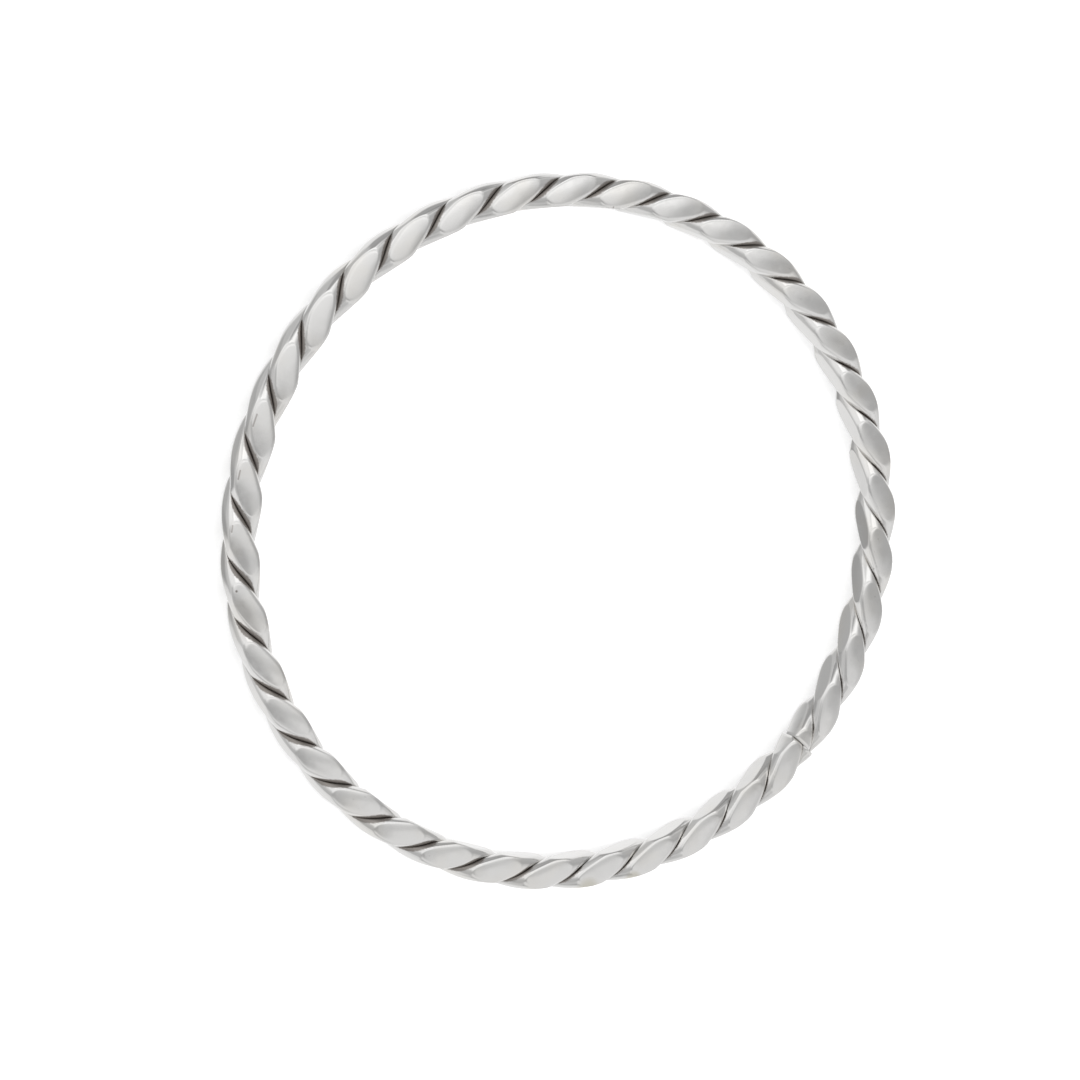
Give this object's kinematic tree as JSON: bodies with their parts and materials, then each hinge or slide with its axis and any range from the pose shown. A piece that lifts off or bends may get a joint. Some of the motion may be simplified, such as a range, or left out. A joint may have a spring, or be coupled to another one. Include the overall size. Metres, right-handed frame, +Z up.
{
  "type": "twisted wire bangle",
  "caption": "Closed round bangle of silver wires twisted into a rope and pressed square, worn on the wrist, with one soldered seam.",
  "frame": {"origin": "centre of the ring on the surface that it lies on", "axes": "+Z up along the ring's axis, through the wrist opening; the soldered seam lies 42 degrees clockwise from +X, seen from above"},
  "size_m": [0.072, 0.072, 0.0034],
  "materials": {
    "silver": "polished sterling silver, lightly scratched, darker in the crevices between the wires"
  },
  "bodies": {
    "root": {"strand_a": "silver", "strand_b": "silver"}
  },
  "joints": []
}
